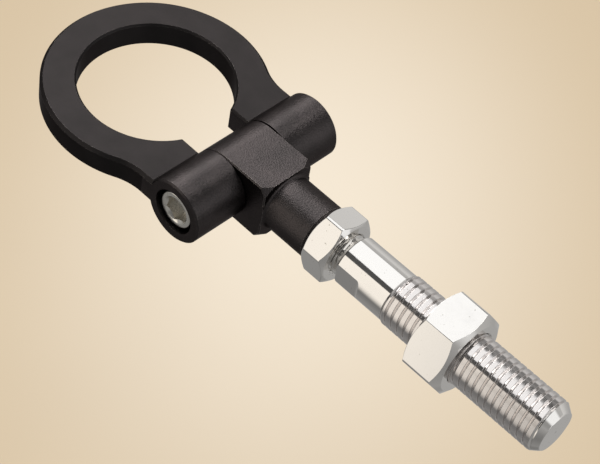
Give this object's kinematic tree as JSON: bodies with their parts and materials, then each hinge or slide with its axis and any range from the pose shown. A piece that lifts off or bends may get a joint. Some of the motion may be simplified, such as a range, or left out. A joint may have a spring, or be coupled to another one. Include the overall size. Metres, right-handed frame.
{
  "type": "folding tow eye",
  "caption": "Folding tow eye: a flat ring hinged on a block by a cross bolt, and a double-ended threaded stud with wrench flats, a jam nut and a lock nut.",
  "frame": {"origin": "on the stud's axis, where the long thread starts at the plain shank", "axes": "+X along the stud to its threaded tip, +Y along the hinge bolt away from its head, +Z square to the ring's plate"},
  "size_m": [0.2067, 0.0736, 0.0276],
  "materials": {
    "black_anodised_aluminium": "bead-blasted and black anodised, satin",
    "bright_plated_steel": "bright plated, polished"
  },
  "bodies": {
    "stud": {"threaded_stud": "bright_plated_steel"},
    "pivot_block": {"pivot_block": "black_anodised_aluminium"},
    "eye_ring": {"eye_ring": "black_anodised_aluminium", "hinge_bolt": "bright_plated_steel"},
    "jam_nut": {"jam_nut": "bright_plated_steel"},
    "lock_nut": {"lock_nut": "bright_plated_steel"}
  },
  "joints": [
    {"name": "neck_turn", "type": "hinge", "parent": "stud", "child": "pivot_block", "pos_m": [-0.04, 0, 0], "axis": [1, 0, 0], "range_deg": [-180, 180]},
    {"name": "ring_fold", "type": "hinge", "parent": "pivot_block", "child": "eye_ring", "pos_m": [-0.0668, 0, 0], "axis": [0, 1, 0], "range_deg": [-160, 160]},
    {"name": "jam_nut_travel", "type": "slide", "parent": "stud", "child": "jam_nut", "axis": [1, 0, 0], "range_m": [0, 0.0029]},
    {"name": "lock_nut_travel", "type": "slide", "parent": "stud", "child": "lock_nut", "axis": [1, 0, 0], "range_m": [-0.0136, 0.03]}
  ]
}
